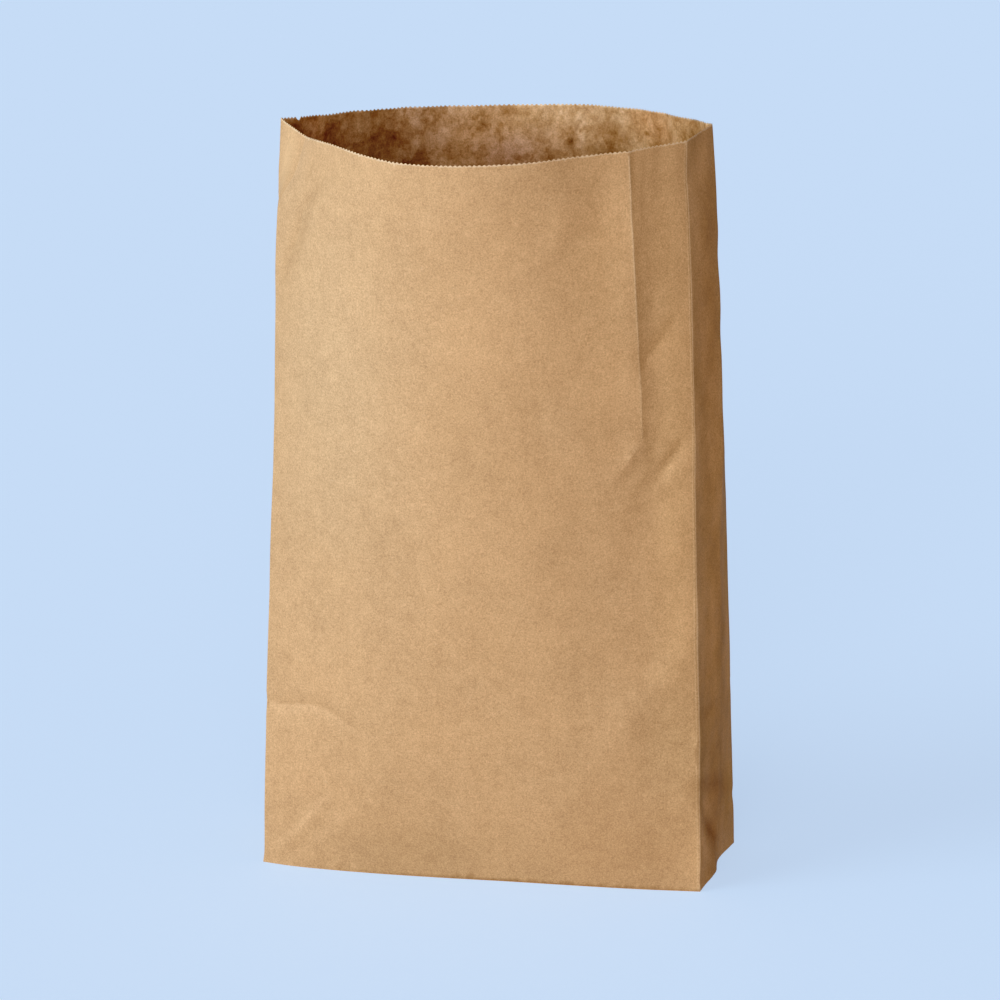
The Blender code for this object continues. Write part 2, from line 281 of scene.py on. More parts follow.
BACK_CREASES = (
    ("diagonal", ((834.8, 829.9), (844.4, 812.4), (851.9, 799.9), (856.4, 792)),
     (-1.3, -1.5, -1.8, -2.0), 16, 9, 1.4),
    ("diagonal_foot", ((856.4, 792), (856.8, 774), (858, 752), (861, 728)),
     (-2.0, -2.2, -1.4, -.2), 10, 12, 1.4),
    ("diagonal_wing", ((856.4, 792), (871, 778), (888, 766), (905, 758)),
     (-1.8, -1.3, -.7, -.1), 13, 13, 1.3),
    ("streak_a", ((1101.5, 829.9), (1103.4, 819.7), (1106, 800)), (-.9, -.7, -.1), 7, 10, 1.5),
    ("streak_b", ((1051, 829.9), (1053.5, 816), (1058, 790)), (1.1, .9, .2), 11, 12, 1.3),
    ("streak_c", ((1027, 829.9), (1029.8, 820.3), (1034, 798)), (-1.1, -.9, -.2), 10, 11, 1.4),
    ("streak_d", ((1001, 829.9), (1004.6, 813.8), (1012, 780)), (1.0, 1.0, .2), 15, 14, 1.3),
    ("branch_a", ((966.9, 829.9), (961.7, 818.6), (960.5, 808.4), (966.9, 799)), (-.8, -.9, -.9, -.1), 5, 7, 1.4),
    ("branch_b", ((960.5, 808.4), (955, 803), (950, 794)), (-.8, -.5, -.1), 5, 6, 1.4),
    ("streak_e", ((943.5, 829.9), (943.4, 812), (948.4, 784)), (1.0, .8, .1), 9, 9, 1.4),
    ("streak_f", ((927, 829.9), (930, 815), (934, 796)), (-.8, -.7, -.1), 9, 9, 1.4),
    ("tip_patch_a", ((735, 829.9), (731, 815), (740, 796)), (-1.2, -1.5, -.2), 12, 10, 1.3),
    ("tip_patch_b", ((712, 829.9), (716, 812), (712, 790)), (1.0, 1.1, .1), 12, 10, 1.3),
    ("tip_crinkle", ((604, 829.9), (602, 815), (606, 796)), (-.7, -.5, -.1), 6, 6, 1.4),
    ("tip_crinkle_b", ((617, 829.9), (618, 812), (614, 790)), (.8, .6, .1), 8, 7, 1.4),
    ("back_long", ((712, 560), (742, 498), (782, 448), (836, 412)), (.3, 1.7, 1.5, .2), 26, 18, 1.4),
    ("back_branch", ((760, 474), (752, 430), (738, 392), (728, 350)), (-.2, -1.3, -1.1, -.1), 20, 20, 1.4),
    ("back_low", ((1120, 268), (1080, 232), (1040, 186), (1016, 130)), (.3, 1.6, 1.5, .2), 28, 26, 1.3),
    ("back_memory", ((670, 196), (720, 193), (790, 195), (850, 197), (930, 194)),
     (-.9, -1.1, -.9, -.6, -.1), 15, 28, 1.4),
    ("back_memory_left", ((1040, 195), (1090, 193), (1150, 196)), (-.1, -.8, -1.0), 14, 26, 1.4),
    ("back_high", ((1130, 700), (1105, 655), (1092, 600), (1088, 560)), (.2, 1.3, 1.2, .1), 22, 20, 1.3),
)
GUSSET_CREASES = (
    ("right_foot_a", ((503, 74), (516, 66), (540, 56), (560, 46), (576, 27)), (-.3, -.9, -1.7, -1.6, -.5), 16, 18, 1.3),
    ("right_foot_b", ((500, 100), (530, 96), (560, 100), (590, 96)), (-.4, -.9, -.7, -.1), 14, 16, 1.3),
    ("right_foot_c", ((600, 58), (625, 54), (655, 58)), (-.2, -.9, -1.5), 12, 14, 1.3),
    ("right_mid", ((512, 420), (535, 396), (570, 388)), (-.1, -.8, -.2), 20, 20, 1.3),
    ("right_memory", ((503, 197), (540, 193), (575, 196)), (-.6, -.8, -.5), 14, 22, 1.4),
    ("left_memory", ((1160, 196), (1200, 193), (1231, 196)), (-.6, -.8, -.5), 14, 22, 1.4),
    ("left_memory_front", ((1237, 196), (1272, 193), (1309, 192)), (-.5, -.8, -1.0), 14, 22, 1.4),
    ("left_foot_a", ((1237, 30), (1256, 48), (1280, 58), (1308, 76)), (-.5, -1.5, -1.4, -.3), 16, 16, 1.3),
    ("left_foot_b", ((1160, 58), (1195, 52), (1230, 56)), (-1.0, -1.1, -.2), 12, 14, 1.3),
    ("left_high", ((1250, 640), (1268, 604), (1300, 585)), (.1, 1.0, .3), 16, 16, 1.3),
)
CREASES = FRONT_CREASES + BACK_CREASES + GUSSET_CREASES

# Wide soft waves: (line, heights along it, width)
SWELLS = (
    (((1234, 812), (1234, 790), (1234, 768), (1234, 745), (1234, 722), (1234, 700)), (-.1, .2, 2.2, 3.4, 2.6, .3), 22),
    (((578, 640), (578, 580), (578, 500), (578, 420), (578, 340)), (.1, 1.3, 1.9, 1.2, .2), 26),
    (((578, 800), (578, 745), (578, 690), (578, 650)), (-.5, -1.2, -1.1, -.1), 26),
    (((578, 260), (578, 180), (578, 100), (578, 40)), (.1, .9, 1.3, .3), 24),
    (((499, 290), (465, 246), (430, 206), (400, 166), (384, 134)), (1.2, 2.2, 2.2, 1.3, .2), 19),
    (((499, 222), (470, 172), (440, 128), (405, 84), (390, 60)), (-.4, -1.4, -1.6, -1.1, -.1), 21),
    (((163, 826), (160, 780), (156, 720), (150, 660)), (.9, .9, .5, .1), 15),
    (((196, 826), (195, 780), (190, 730)), (-.4, -.4, -.1), 18),
    (((374, 815), (362, 770), (345, 728), (325, 700)), (.1, 1.2, 1.3, .1), 17),
    (((402, 800), (394, 765), (374, 724)), (-.1, -1.0, -.1), 17),
    (((462, 822), (466, 780), (470, 730)), (-.8, -.9, -.3), 13),
    (((484, 822), (486, 760), (486, 700)), (.9, .9, .2), 12),
    (((470, 440), (452, 410), (440, 372)), (-.1, -1.0, -.1), 20),
    (((410, 290), (396, 250), (372, 214)), (-.2, -1.0, -.1), 22),
    (((250, 540), (262, 480), (252, 430)), (.1, .5, .1), 30),
    (((120, 340), (150, 300), (170, 250)), (.1, .5, .1), 26),
    (((228, 70), (236, 40), (250, 12)), (.1, .6, .1), 24),
    (((330, 60), (360, 44), (400, 40)), (.1, .6, .1), 22),
)


# Painted light and shade: soft patches where the paper's colour is made lighter or darker to stand in for the light
# falling on it:
# (s, y, reach along s, reach along y, change of red, green, blue). First outside, then inside.
PAINTED_LIGHT_AND_SHADE_OUT = (
    (85, 590, 115, 260, .01, .08, .14), (2, 792, 24, 48, .02, .04, .07),
    (1272, 785, 34, 66, .19, .24, .26), (404, 700, 34, 150, .12, .13, .12),
    (478, 500, 26, 320, .11, .12, .09), (480, 160, 40, 60, -.08, -.08, -.09),
    (425, 45, 105, 75, -.13, -.16, -.18), (180, 22, 150, 46, -.10, -.10, -.11),
    (512, 40, 20, 44, .13, .13, .10), (560, 55, 34, 62, -.09, -.14, -.18),
    (545, 640, 40, 200, -.05, -.10, -.13), (560, 330, 44, 250, .05, .0, -.08),
    (534, 260, 16, 50, -.12, -.14, -.15), (637, 205, 24, 64, .18, .15, .10), (574, 312, 16, 50, -.08, -.09, -.08),
    (630, 78, 26, 32, -.10, -.15, -.28), (636, 340, 24, 110, .06, .02, -.08),
)
PAINTED_LIGHT_AND_SHADE_IN = (
    (606, 800, 58, 70, -.18, -.27, -.36), (700, 800, 60, 60, -.05, -.11, -.17),
    (722, 800, 24, 30, -.06, -.12, -.16), (1196, 800, 36, 80, .30, .18, .20),
    (1040, 790, 60, 60, -.03, -.05, .04), (950, 800, 50, 50, .08, .05, .05),
    (880, 770, 60, 40, -.10, -.12, -.10), (835, 775, 36, 26, -.08, -.12, -.16),
    (930, 772, 34, 24, .04, .05, .22), (1132, 805, 40, 40, .05, .05, .12),
    (746, 818, 30, 24, .31, .29, .31), (808, 791, 34, 26, -.29, -.37, -.44),
    (1063, 782, 36, 22, -.16, -.18, -.22), (1201, 815, 20, 22, -.32, -.32, -.34),
    (866, 792, 24, 24, .11, .09, .09), (914, 814, 28, 20, -.06, -.08, -.13),
)


def tint(table, s, y):
    out = np.ones((len(s), 3))
    for at_s, at_y, reach_s, reach_y, *change in table:
        w = np.exp(-((s - at_s) / reach_s) ** 2 - ((y - at_y) / reach_y) ** 2)
        out *= 1 + w[:, None] * np.array(change)
    return out


def shade(table, s, y):
    out = np.ones((len(s), 3))
    for line, amounts, right_reach, left_reach in table:
        side, share = beside(line, s, y)
        reach = np.where(side > 0, right_reach, left_reach)
        amount = np.interp(share, np.linspace(0, 1, len(amounts)), amounts)
        out *= 1 - (amount * np.clip(1 - np.abs(side) / reach, 0, 1) ** 1.2)[:, None] * (.85, 1.0, 1.15)
    return out


def mouth_share(s, y):
    """Where the back is crumpled: round the mouth, between the tips."""
    return smooth(640, 770, y) * smooth(575, 640, s) * (1 - smooth(1170, 1235, s))


def crumple(s, y):
    """Crumpled paper of about unit size: sharp creases between rounded facets."""
    warp_s = s + 5.0 * lattice(s, y, 40, 40, 41)
    warp_y = y + 5.0 * lattice(s, y, 40, 40, 42)
    folds = 0.9 - np.abs(lattice(warp_s, warp_y, 36, 38, 21))
    small = 0.8 - np.abs(lattice(warp_s, warp_y, 16, 16, 23))
    return (0.90 * folds + 0.44 * small + 0.35 * lattice(s, y, 24, 24, 22)
            + 0.12 * lattice(s, y, 9, 9, 29))


# Painted shade and painted highlights beside creases, along the foot and in patches: (line, amounts along it, reach on
# the right, on the left); a positive amount darkens the paper's colour, a negative one lightens it
SHADES = (
    (FRONT_CREASES[0][1], (.13, .13, .12, .11, .12, .17), 9, .6),
    (FRONT_CREASES[1][1], (0, .05, .11, .13, .05), 2, 15),
    (((486, 512), (480, 502), (469, 486), (457, 471)), (.05, .12, .11, .03), 2.5, 11),
    (((488, 500), (477, 485), (466, 471), (456, 460)), (-.05, -.10, -.10, -.03), 10, 3),
    (((446, 512), (434, 507), (424, 492), (412, 475)), (-.05, -.11, -.08, -.03), 3, 10),
    (((448, 513), (453, 491), (446, 474), (436, 458), (431, 450)), (.09, .12, .11, .11, .04), 6, 7),
    (((497.4, 700), (497.4, 400), (497.4, 150), (497.4, 20)), (-.02, -.03, .03, .03), .5, 9),
    # a painted contact shadow along the foot of the front
    (((40, 0), (200, 0), (499, 0)), (.0, .45, .30), 2.6, 2.6),
    (((506, 54), (526, 38), (548, 22), (564, 10)), (-.10, -.16, -.26, -.16), 11, 11),
    (((33, 808), (34, 796), (32, 786)), (.05, .14, .03), 3, 3),
    (MEMORY_LINE, (-.07, -.12, -.14, -.15, -.14, -.11, -.05, 0), 2, 13),
    (MEMORY_LINE, (-.04, -.05, -.05, -.03, -.01, 0, 0, 0), .5, 34),
    (MEMORY_LINE, (.05, .06, .05, .04, .04, .04, .02, 0), 16, .5),
    (((498.6, 818), (498.6, 420), (498.6, 60)), (.10, .10, .08), 1.4, 1.4),
    (((84, 96), (62, 68), (42, 44), (18, 24)), (-.04, -.16, -.17, -.07), 9, 9),
    (((112, 82), (84, 54), (58, 26), (40, 8)), (-.03, -.11, -.12, -.04), 10, 10),
    (((504, 98), (518, 76), (546, 55), (572, 35)), (.18, .32, .44, .26), 13, 15),
    (((502, 122), (532, 113), (565, 102), (600, 90), (632, 76)), (.26, .28, .24, .16, .10), 17, 26),
    (((506, 204), (530, 196), (560, 200)), (.08, .18, .06), 10, 14),
    (((548, 330), (536, 300), (540, 262)), (.02, .10, .02), 14, 12),
    (((58, 800), (52, 772), (46, 745), (35, 715), (20, 690), (10, 655)), (.02, .09, .13, .15, .13, .04), 20, 15),
)


# The same on the inner face
SHADES_IN = (
    (((834.8, 829.9), (844.4, 812.4), (851.9, 799.9), (856.4, 788)), (.20, .26, .32, .38), 3, 2),
    (((834.8, 829.9), (844.4, 812.4), (851.9, 799.9), (856.4, 788)), (.0, .06, .16, .22), 22, .5),
    (((834.8, 829.9), (844.4, 812.4), (851.9, 799.9), (856.4, 788)), (-.10, -.12, -.10, -.05), .5, 16),
    (((856.4, 790), (856.8, 774), (858, 752)), (.36, .28, .10), 8, 3),
    (((966.9, 829.9), (961.7, 818.6), (960.5, 808.4), (966.9, 799)), (.16, .20, .20, .05), 2.5, 6),
    (((960.5, 808.4), (955, 803), (948, 792)), (.20, .14, .05), 4, 3),
    (((1029, 829.9), (1031, 816), (1038, 792)), (.14, .14, .05), 8, 3),
    (((1101, 829.9), (1103, 815), (1108, 790)), (.16, .18, .08), 9, 4),
    (((735, 829.9), (731, 815), (740, 792)), (.16, .20, .05), 3, 10),
    (((1153, 829), (1150, 800), (1146, 760)), (.20, .20, .16), 5, 14),
)


# How far the front right fold strays to the right: (height, mm)
FOLD_SWAY = ((0, 0), (60, .8), (120, .7), (185, 2.1), (225, 1.7), (285, .7), (340, 2.0), (390, 2.8),
             (455, 2.2), (520, 3.9), (590, 3.4), (640, 1.9), (686, 2.5), (719, 2.2), (752, 1.1),
             (790, -1.1), (834, 0))


def relief(s, y):
    """Height of the surface over the smooth shape, mm, outwards."""
    d = np.zeros(len(s))
    for _, line, heights, pos, neg, power in CREASES:
        pts = np.array(line, float)
        reach = max(pos, neg) + 1
        m = ((s > pts[:, 0].min() - reach) & (s < pts[:, 0].max() + reach)
             & (y > pts[:, 1].min() - reach) & (y < pts[:, 1].max() + reach))
        if not m.any():
            continue
        side, share = beside(line, s[m], y[m])
        run = np.r_[0, np.cumsum(np.linalg.norm(np.diff(pts, axis=0), axis=1))]
        h = np.interp(share, run / run[-1], heights)
        width = np.where(side > 0, pos, neg)
        d[m] += h * np.clip(1 - np.abs(side) / width, 0, 1) ** power
    for line, heights, width in SWELLS:
        pts = np.array(line, float)
        reach = 2.6 * width
        m = ((s > pts[:, 0].min() - reach) & (s < pts[:, 0].max() + reach)
             & (y > pts[:, 1].min() - reach) & (y < pts[:, 1].max() + reach))
        if not m.any():
            continue
        side, share = beside(line, s[m], y[m])
        run = np.r_[0, np.cumsum(np.linalg.norm(np.diff(pts, axis=0), axis=1))]
        d[m] += np.interp(share, run / run[-1], heights) * np.exp(-(side / width) ** 2)

    # gentle unevenness of handled paper
    d += 0.95 * lattice(s, y, 82, 128, 11)
    d += 0.36 * lattice(s, y, 41, 63, 12)
    d += 0.10 * lattice(s, y, 20, 29, 13)
    d += 0.030 * lattice(s, y, 11, 14, 14)
    # crumpled inside round the mouth, at the back
    d -= 2.0 * mouth_share(s, y) * crumple(s, y)
    # the right of the front and the right gusset were handled more
    right = smooth(380, 450, s) * (1 - smooth(640, 660, s))
    d += right * (0.46 * lattice(s, y, 26, 40, 25) + 0.20 * lattice(s, y, 13, 17, 26))
    # soft slanting folds beside the upright crease
    slant = lattice(s * .8 + y * .6, (y * .8 - s * .6) * .55 + 300, 21, 40, 32)
    d += 0.75 * smooth(300, 380, s) * (1 - smooth(428, 440, s)) * smooth(430, 560, y) * slant
    corner = np.exp(-(np.hypot(np.minimum(s, GIRTH - s), y - 800) / 70) ** 2)
    d += corner * (0.35 * lattice(s, y, 24, 30, 27) + 0.15 * lattice(s, y, 12, 16, 28))
    # near the mouth the front left fold is opened almost flat
    off_fold = np.minimum(s, GIRTH - s)
    d -= np.exp(-(off_fold / 10) ** 2) * np.interp(
        y, (470, 560, 650, 700, 735, 770, 800), (0, .8, 1.3, .9, .4, 1.0, 1.7))
    # the rim waves a little of its own accord
    d += 0.35 * smooth(800, 830, y) * lattice(s, y, 34, 200, 24)
    # nothing moves where the wall turns under
    return d * smooth(-2, 14, y)


# ---- mesh of the flat sheet ------------------------------------------------
def tooth(phase):
    """Depth of the saw-toothed cut below the rim, by place in a tooth."""
    return np.interp(phase, (0, .12, .38, .62, .88, 1), (1.35, 1.35, .08, .08, 1.35, 1.35))


TOP_PHASES = (0.0, .12, .38, .62, .88)
NICKS = ((1205.5, 3.2, 4.4),)     # (place, half width, depth) of a torn nick


def rim_y(s):
    y = HEIGHT - tooth(np.mod(s, TOOTH_PITCH) / TOOTH_PITCH)
    for at, half, depth in NICKS:
        y = y - depth * np.clip(1 - np.abs(s - at) / half, 0, 1)
    return y


def crease_points(line, step=3.2):
    pts = np.array(line, float)
    run = np.r_[0, np.cumsum(np.linalg.norm(np.diff(pts, axis=0), axis=1))]
    n = max(2, int(round(run[-1] / step)) + 1)
    q = np.linspace(0, run[-1], n)
    return np.stack([np.interp(q, run, pts[:, 0]), np.interp(q, run, pts[:, 1])], -1)


def sheet_mesh():
    """Triangles of the flat sheet, with its folds and creases as edges."""
    verts, edges, fixed = [], [], []

    def chain(points, close=False):
        first = len(verts)
        verts.extend([tuple(p) for p in points])
        last = len(verts) - 1
        edges.extend([(i, i + 1) for i in range(first, last)])
        if close:
            edges.append((last, first))
        return first

    # outline
    per_tooth = np.arange(252) * TOOTH_PITCH
    top_s = np.sort(np.concatenate([per_tooth + p * TOOTH_PITCH for p in TOP_PHASES]))
    bottom = np.stack([per_tooth, np.zeros(252)], -1)
    side_y = np.concatenate([np.linspace(0, 812, 177)[1:], [815.5, 819, 822, 824.6, 826.8]])
    right = np.stack([np.full(len(side_y), GIRTH), side_y], -1)
    top = np.stack([top_s, rim_y(top_s)], -1)
    corner = np.array([[GIRTH, rim_y(np.array([0.0]))[0]]])
    left = np.stack([np.zeros(len(side_y)), side_y], -1)[::-1]
    outline = np.concatenate([bottom, [[GIRTH, 0.0]], right, corner, top[::-1], left])
    chain(outline, close=True)
    fixed.append(outline)

    # upright folds, with a strip each side that rounds them
    for at in FOLD_AT:
        for off in ((0, 1.1, 2.6) if at == 500 else (-2.6, -1.1, 0, 1.1, 2.6)):
            if off == 0:
                ys = np.concatenate([np.linspace(0, 820, 178), [823, 825.8, HEIGHT - 1.35]])
            else:
                ys = np.linspace(3.5, 825.5, 178)
            line = np.stack([np.full(len(ys), at + off), ys], -1)
            if off == 0:
                # the ends are already on the outline, so only the chain is added
                chain(line)
            else:
                chain(line)
            fixed.append(line)
    for at in (1.1, 2.6, GIRTH - 2.6, GIRTH - 1.1):
        ys = np.linspace(3.5, 825.5, 178)
        line = np.stack([np.full(len(ys), at), ys], -1)
        chain(line)
        fixed.append(line)
    # a second crease line just inside the front right fold
    for off in (-1.4, -2.8, -4.2):
        ys = np.linspace(4.5, 824.5, 170)
        line = np.stack([np.full(len(ys), 500 + off), ys], -1)
        chain(line)
        fixed.append(line)
    # edges of the glued lap down the back
    for at in (LAP_START - STEP, LAP_START, LAP_END, LAP_END + STEP, LAP_END + LAP_RAMP):
        ys = np.linspace(4, 825.5, 150)
        line = np.stack([np.full(len(ys), at), ys], -1)
        chain(line)
        fixed.append(line)
    # creases
    crease_pts = []
    for name, line, heights, pos, neg, _ in CREASES:
        pts = crease_points(line)
        top_end = pts[:, 1] > 826.5
        if top_end.any():
            pts = pts[~top_end]
        chain(pts)
        fixed.append(pts)
        crease_pts.append(pts)
        if name == "upright":
            for off in (-5.2, -1.7, 1.7, 5.2):
                beside_it = pts + (off, 0)
                chain(beside_it)
                fixed.append(beside_it)
    fixed = np.concatenate(fixed)
    crease_pts = np.concatenate(crease_pts)

    # spacing wanted at each place
    def nearest(p, q, limit):
        """Distance from each p to the nearest of q, by a coarse grid of buckets."""
        cell = limit
        out = np.full(len(p), limit)
        key = {}
        for i, (a, b) in enumerate(np.floor(q / cell).astype(int)):
            key.setdefault((a, b), []).append(i)
        pk = np.floor(p / cell).astype(int)
        order = np.lexsort((pk[:, 1], pk[:, 0]))
        start = 0
        while start < len(order):
            a, b = pk[order[start]]
            end = start
            while end < len(order) and pk[order[end], 0] == a and pk[order[end], 1] == b:
                end += 1
            near = [i for u in (-1, 0, 1) for v in (-1, 0, 1) for i in key.get((a + u, b + v), ())]
            if near:
                idx = order[start:end]
                dist = np.sqrt(((p[idx][:, None] - q[near][None]) ** 2).sum(-1)).min(1)
                out[idx] = np.minimum(out[idx], dist)
            start = end
        return out

    def spacing(p):
        s, y = p[:, 0], p[:, 1]
        h = np.where((s > 290) & (s < 500), 6.0, 6.4)
        h[(s < 110) & (y > 620)] = 6.0
        back = (s > 656) & (s < 1156)
        h[back] = 11.5
        h[(s >= 500) & (s <= 656)] = 6.8
        h[s >= 1156] = 9.0
        inner = back | ((s > 560) & (s < 1240))
        h[inner & (y > 690)] = np.minimum(h[inner & (y > 690)], 4.5)
        band = inner & (y > 640) & (y <= 690)
        h[band] = np.minimum(h[band], 6.5)
        h = np.minimum(h, 2.1 + 0.42 * (HEIGHT - y))
        d = nearest(p, crease_pts, 24.0)
        h = np.minimum(h, 2.8 + 0.34 * d)
        return h

    cells = []
    size = 16.0
    nx, ny = int(math.ceil(GIRTH / size)), int(math.ceil(HEIGHT / size))
    gx, gy = np.meshgrid((np.arange(nx) + .5) * size, (np.arange(ny) + .5) * size)
    centres = np.stack([gx.ravel(), gy.ravel()], -1)
    for level in range(5):
        h = spacing(centres)
        split = h < size * 0.76
        leaf = centres[~split]
        cells.append(np.c_[leaf, np.full(len(leaf), size)])
        c = centres[split]
        q = size / 4
        centres = np.concatenate([c + (-q, -q), c + (q, -q), c + (-q, q), c + (q, q)])
        size /= 2
        if not len(c):
            break
    cells = np.concatenate(cells)
    rng = np.random.default_rng(5)
    pts = cells[:, :2] + rng.uniform(-.2, .2, (len(cells), 2)) * cells[:, 2:]
    keep = ((pts[:, 0] > 2) & (pts[:, 0] < GIRTH - 2) & (pts[:, 1] > 2)
            & (pts[:, 1] < HEIGHT - 2.9))
    pts, cells = pts[keep], cells[keep]
    gap = nearest(pts, fixed, 10.0)
    pts = pts[gap > np.minimum(cells[:, 2] * 0.5, 2.6)]
    verts.extend([tuple(p) for p in pts])

    out = delaunay_2d_cdt([Vector(v) for v in verts], edges, [], 0, 1e-4, False)
    co = np.array([tuple(v) for v in out[0]])
    tri = np.array(out[2])
    # drop what fills the gaps between teeth
    mid = co[tri].mean(1)
    on_top = np.abs(co[:, 1] - rim_y(co[:, 0])) < 0.02
    outside = on_top[tri].all(1) & (mid[:, 1] > rim_y(mid[:, 0]) - 1e-3)
    tri = tri[~outside]
    area = ((co[tri[:, 1]] - co[tri[:, 0]])[:, 0] * (co[tri[:, 2]] - co[tri[:, 0]])[:, 1]
            - (co[tri[:, 1]] - co[tri[:, 0]])[:, 1] * (co[tri[:, 2]] - co[tri[:, 0]])[:, 0])
    tri[area < 0] = tri[area < 0][:, ::-1]
    # close the girth
    left = np.where(co[:, 0] < 1e-3)[0]
    right = np.where(co[:, 0] > GIRTH - 1e-3)[0]
    left, right = left[np.argsort(co[left, 1])], right[np.argsort(co[right, 1])]
    assert len(left) == len(right) and np.allclose(co[left, 1], co[right, 1], atol=1e-3)
    to = np.arange(len(co))
    to[right] = left
    tri = to[tri]
    used = np.unique(tri)
    renum = -np.ones(len(co), int)
    renum[used] = np.arange(len(used))
    return co[used], renum[tri]


def vertex_normals(co, tri):
    n = np.cross(co[tri[:, 1]] - co[tri[:, 0]], co[tri[:, 2]] - co[tri[:, 0]])
    out = np.zeros_like(co)
    for k in range(3):
        np.add.at(out, tri[:, k], n)
    return out / np.linalg.norm(out, axis=1)[:, None]


def inside_polygon(p, poly):
    x, y = p[:, 0][:, None], p[:, 1][:, None]
    a, b = poly, np.roll(poly, -1, axis=0)
    cross = ((a[:, 1] > y) != (b[:, 1] > y)) & (
        x < (b[:, 0] - a[:, 0]) * (y - a[:, 1]) / (b[:, 1] - a[:, 1] + 1e-12) + a[:, 0])
    return cross.sum(1) % 2 == 1


def build_sack():
    flat, tri = sheet_mesh()
    s, y = flat[:, 0], flat[:, 1]
    base = stand_up(s, y)
    normal = vertex_normals(base, tri)
    d = relief(s, y)
    # round the upright folds
    at_fold = np.full(len(s), 1e3)
    for at in (0.0, *FOLD_AT, GIRTH):
        at_fold = np.minimum(at_fold, np.abs(s - at))
    rounding = 0.33 * np.clip(1 - at_fold / 1.5, 0, 1) * smooth(0, 8, y)
    # the lap: two plies between the covering edge and the covered edge
    out_extra = PAPER * (smooth(LAP_START - STEP, LAP_START, s)
                         * (1 - smooth(LAP_END + STEP, LAP_END + LAP_RAMP, s)))
    in_extra = PAPER * smooth(LAP_END, LAP_END + STEP, s) * (
        1 - smooth(LAP_END + STEP, LAP_END + LAP_RAMP, s))
    outer = base + normal * (d - rounding + out_extra)[:, None]
    inner = base + normal * (d - rounding * .6 - PAPER + in_extra)[:, None]
    t = np.clip(y / HEIGHT, 0, 1)
    # the front right fold wanders a little from side to side
    sway = np.interp(y, *zip(*FOLD_SWAY)) * np.where(
        s <= 500, smooth(432, 500, s), np.clip((578 - s) / 78, 0, 1))
    outer[:, 0] += sway
    inner[:, 0] += sway
    outer[:, 2] += Z_UNDER * (1 - t)
    inner[:, 2] += Z_FLOOR * (1 - t)
    foot = y < 1e-6
    outer[foot, 2] = Z_UNDER
    inner[foot, 2] = Z_FLOOR

    n = len(s)
    co = [outer, inner]
    tris = [tri, tri[:, ::-1] + n]
    wear_and_highlight = np.zeros(n)
    # folds rubbed pale, in part a painted highlight along them, strongest on the front right fold
    for at, strength in ((0.0, .2), (500.0, .8), (578.0, .15), (656.0, .5),
                         (1156.0, .5), (1234.0, .2), (GIRTH, .2)):
        reach = 1.2 if at == 500 else 1.6
        wear_and_highlight = np.maximum(wear_and_highlight, strength * np.clip(1 - np.abs(s - at) / reach, 0, 1))
    for _, line, heights, pos, neg, _ in CREASES:
        side, share = beside(line, s, y)
        pts = np.array(line, float)
        run = np.r_[0, np.cumsum(np.linalg.norm(np.diff(pts, axis=0), axis=1))]
        h = np.abs(np.interp(share, run / run[-1], heights))
        wear_and_highlight = np.maximum(wear_and_highlight, np.clip((h - 2.0) / 12, 0, .12) * np.clip(1 - np.abs(side) / 2.4, 0, 1))
    cut = (np.abs(y - rim_y(s)) < 0.02).astype(float)
    is_in = np.r_[np.zeros(n), np.ones(n)]
    # a painted highlight along the ridge of the upright crease, fading down it
    side, share = beside(FRONT_CREASES[0][1], s, y)
    bright = np.interp(share, (0, .5, .75, 1), (.75, .6, .35, .2))
    wear_and_highlight = np.maximum(wear_and_highlight, bright * np.clip(1 - np.abs(side) / 1.6, 0, 1))
    on_ridge = (np.abs(side) < .03) & (share < .97)
    # a second painted highlight line just inside the front right fold
    wear_and_highlight = np.maximum(wear_and_highlight, .30 * np.clip(1 - np.abs(s - 497.2) / 1.0, 0, 1))
    # painted light and shade in soft patches outside
    colour = tint(PAINTED_LIGHT_AND_SHADE_OUT, s, y)
    handled = smooth(498, 506, s) * (1 - smooth(640, 656, s))
    colour *= 1 + (handled * (.05 * lattice(s, y, 26, 46, 51) + .035 * lattice(s, y, 12, 18, 52))
                   + .010 * lattice(s, y, 30, 38, 53))[:, None] * (1, 1.1, 1.25)
    # painted grazing shade in the sharp angles beside the creases, and painted highlights beside some of them
    colour *= shade(SHADES, s, y)
    wear_and_highlight_faces = np.r_[wear_and_highlight, np.zeros(n)]
    # painted shade along the folds and in the hollows of the crumpled paper, inside only
    painted_shade_inside = -0.46 * mouth_share(s, y) * np.clip(crumple(s, y), -1.6, 1.6)
    for at, strength in ((500.0, .5), (578.0, .5), (656.0, .6), (1156.0, .5), (1234.0, .5)):
        painted_shade_inside = painted_shade_inside + strength * np.clip(1 - np.abs(s - at) / 4.5, 0, 1)
    painted_shade_inside = np.clip(painted_shade_inside, -1, 1)
    inside_colour = tint(PAINTED_LIGHT_AND_SHADE_IN, s, y) * (1 - painted_shade_inside[:, None] * (.22, .29, .36))
    inside_colour *= shade(SHADES_IN, s, y)
    # painted light: the paper below the crumpled mouth is made paler and less red, to lift the dim light deep inside
    inside_colour *= 1 + (1 - smooth(600, 730, y))[:, None] * (.06, .12, .20)
    colour = np.r_[colour, inside_colour]
    cut2 = np.r_[cut, cut]

    # cut edge between the two faces
    rim = np.where(np.abs(y - rim_y(s)) < 0.02)[0]
    rim = rim[np.argsort(s[rim])]
    nxt = np.roll(rim, -1)
    edge_quads = np.stack([rim, nxt, nxt + n, rim + n], -1)
    tris.append(edge_quads[:, [0, 1, 2]])
    tris.append(edge_quads[:, [0, 2, 3]])

    # inner floor, with the creases of the folded bottom
    loop = np.where(foot)[0]
    loop = loop[np.argsort(s[loop])]
    ring = inner[loop, :2]
    corners = [np.array(c[0], float) for c in (FRONT_LEFT, FRONT_RIGHT, BACK_RIGHT, BACK_LEFT)]

